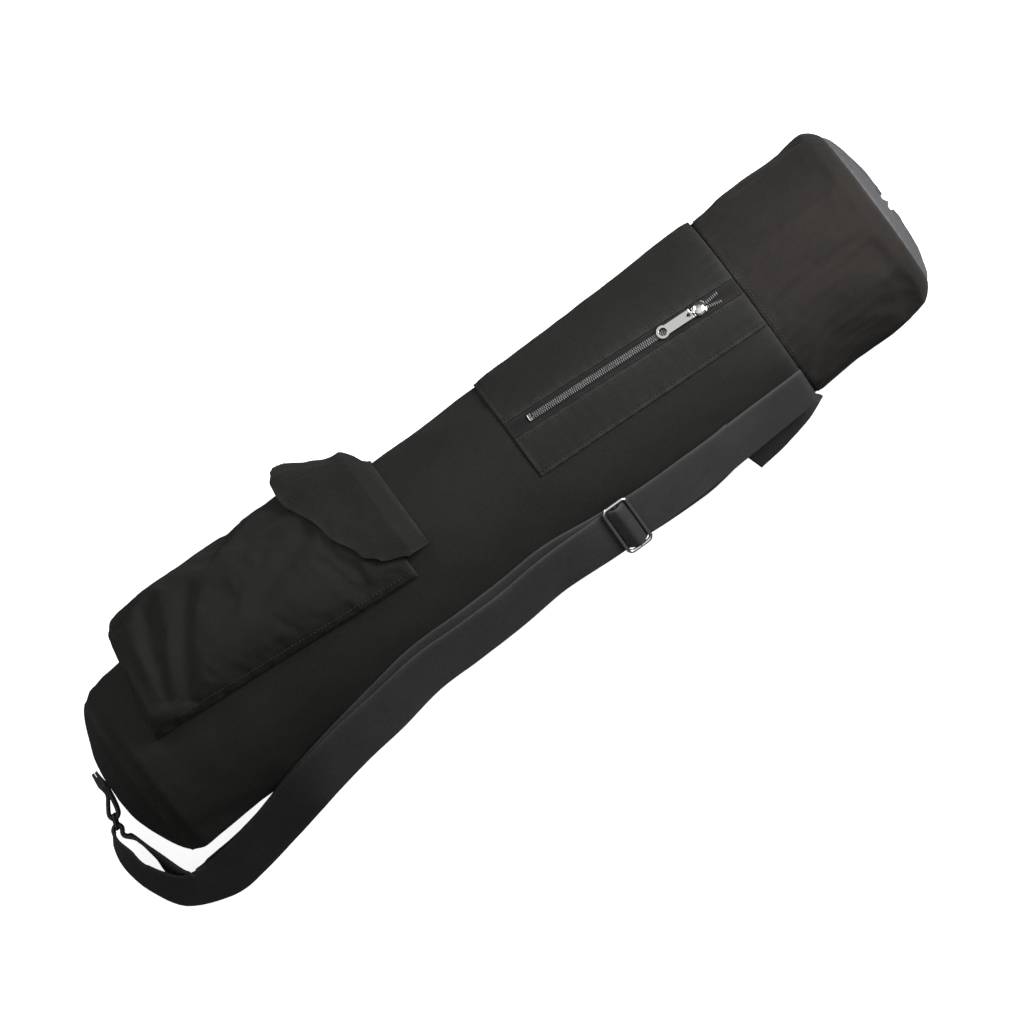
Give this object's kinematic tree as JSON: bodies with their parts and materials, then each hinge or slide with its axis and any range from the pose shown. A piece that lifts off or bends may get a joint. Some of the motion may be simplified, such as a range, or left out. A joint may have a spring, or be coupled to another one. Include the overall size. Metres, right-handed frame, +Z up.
{
  "type": "yoga mat bag",
  "caption": "A stuffed charcoal canvas yoga mat bag: a long tube with a domed base, a gathered mouth, a flapped cargo pocket, a zip pocket and a webbing shoulder strap with a slide",
  "frame": {"origin": "on the flat that the bag rests on, halfway along its length and under the middle of the tube", "axes": "+X runs along the bag from the base to the gathered mouth, +Z is up as it lies, +Y is the side the cargo pocket is on"},
  "size_m": [0.7871, 0.2523, 0.1778],
  "materials": {
    "canvas": "heavy charcoal cotton canvas, matt, plain weave with a light heather",
    "webbing": "dark grey woven strap webbing, ribbed, matt",
    "tape": "black-brown woven zip tape",
    "coil": "grey moulded zip coil",
    "nickel": "polished nickel-plated metal",
    "black_wire": "black-finished steel wire"
  },
  "bodies": {
    "bag": {"tube": "canvas", "base_panel": "canvas", "collar": "canvas", "mouth_gather": "canvas", "cargo_pocket": "canvas", "pocket_flap": "canvas", "zip_pocket": "canvas", "zip_facing": "canvas", "zip_tape": "tape", "zip_chain": "coil", "zip_row_near": "coil", "zip_row_far": "coil", "zip_stop": "nickel", "zip_slider": "nickel", "shoulder_strap": "webbing", "strap_slide": "nickel", "base_ring": "black_wire", "base_tab": "webbing", "seam_tail": "webbing"},
    "pull": {"zip_pull": "nickel"}
  },
  "joints": [
    {"name": "zip_pull_hinge", "type": "hinge", "parent": "bag", "child": "pull", "pos_m": [0.20208, 0.02548, 0.16177], "axis": [0.0731, 0.9555, -0.2858], "range_deg": [0, 120]}
  ]
}
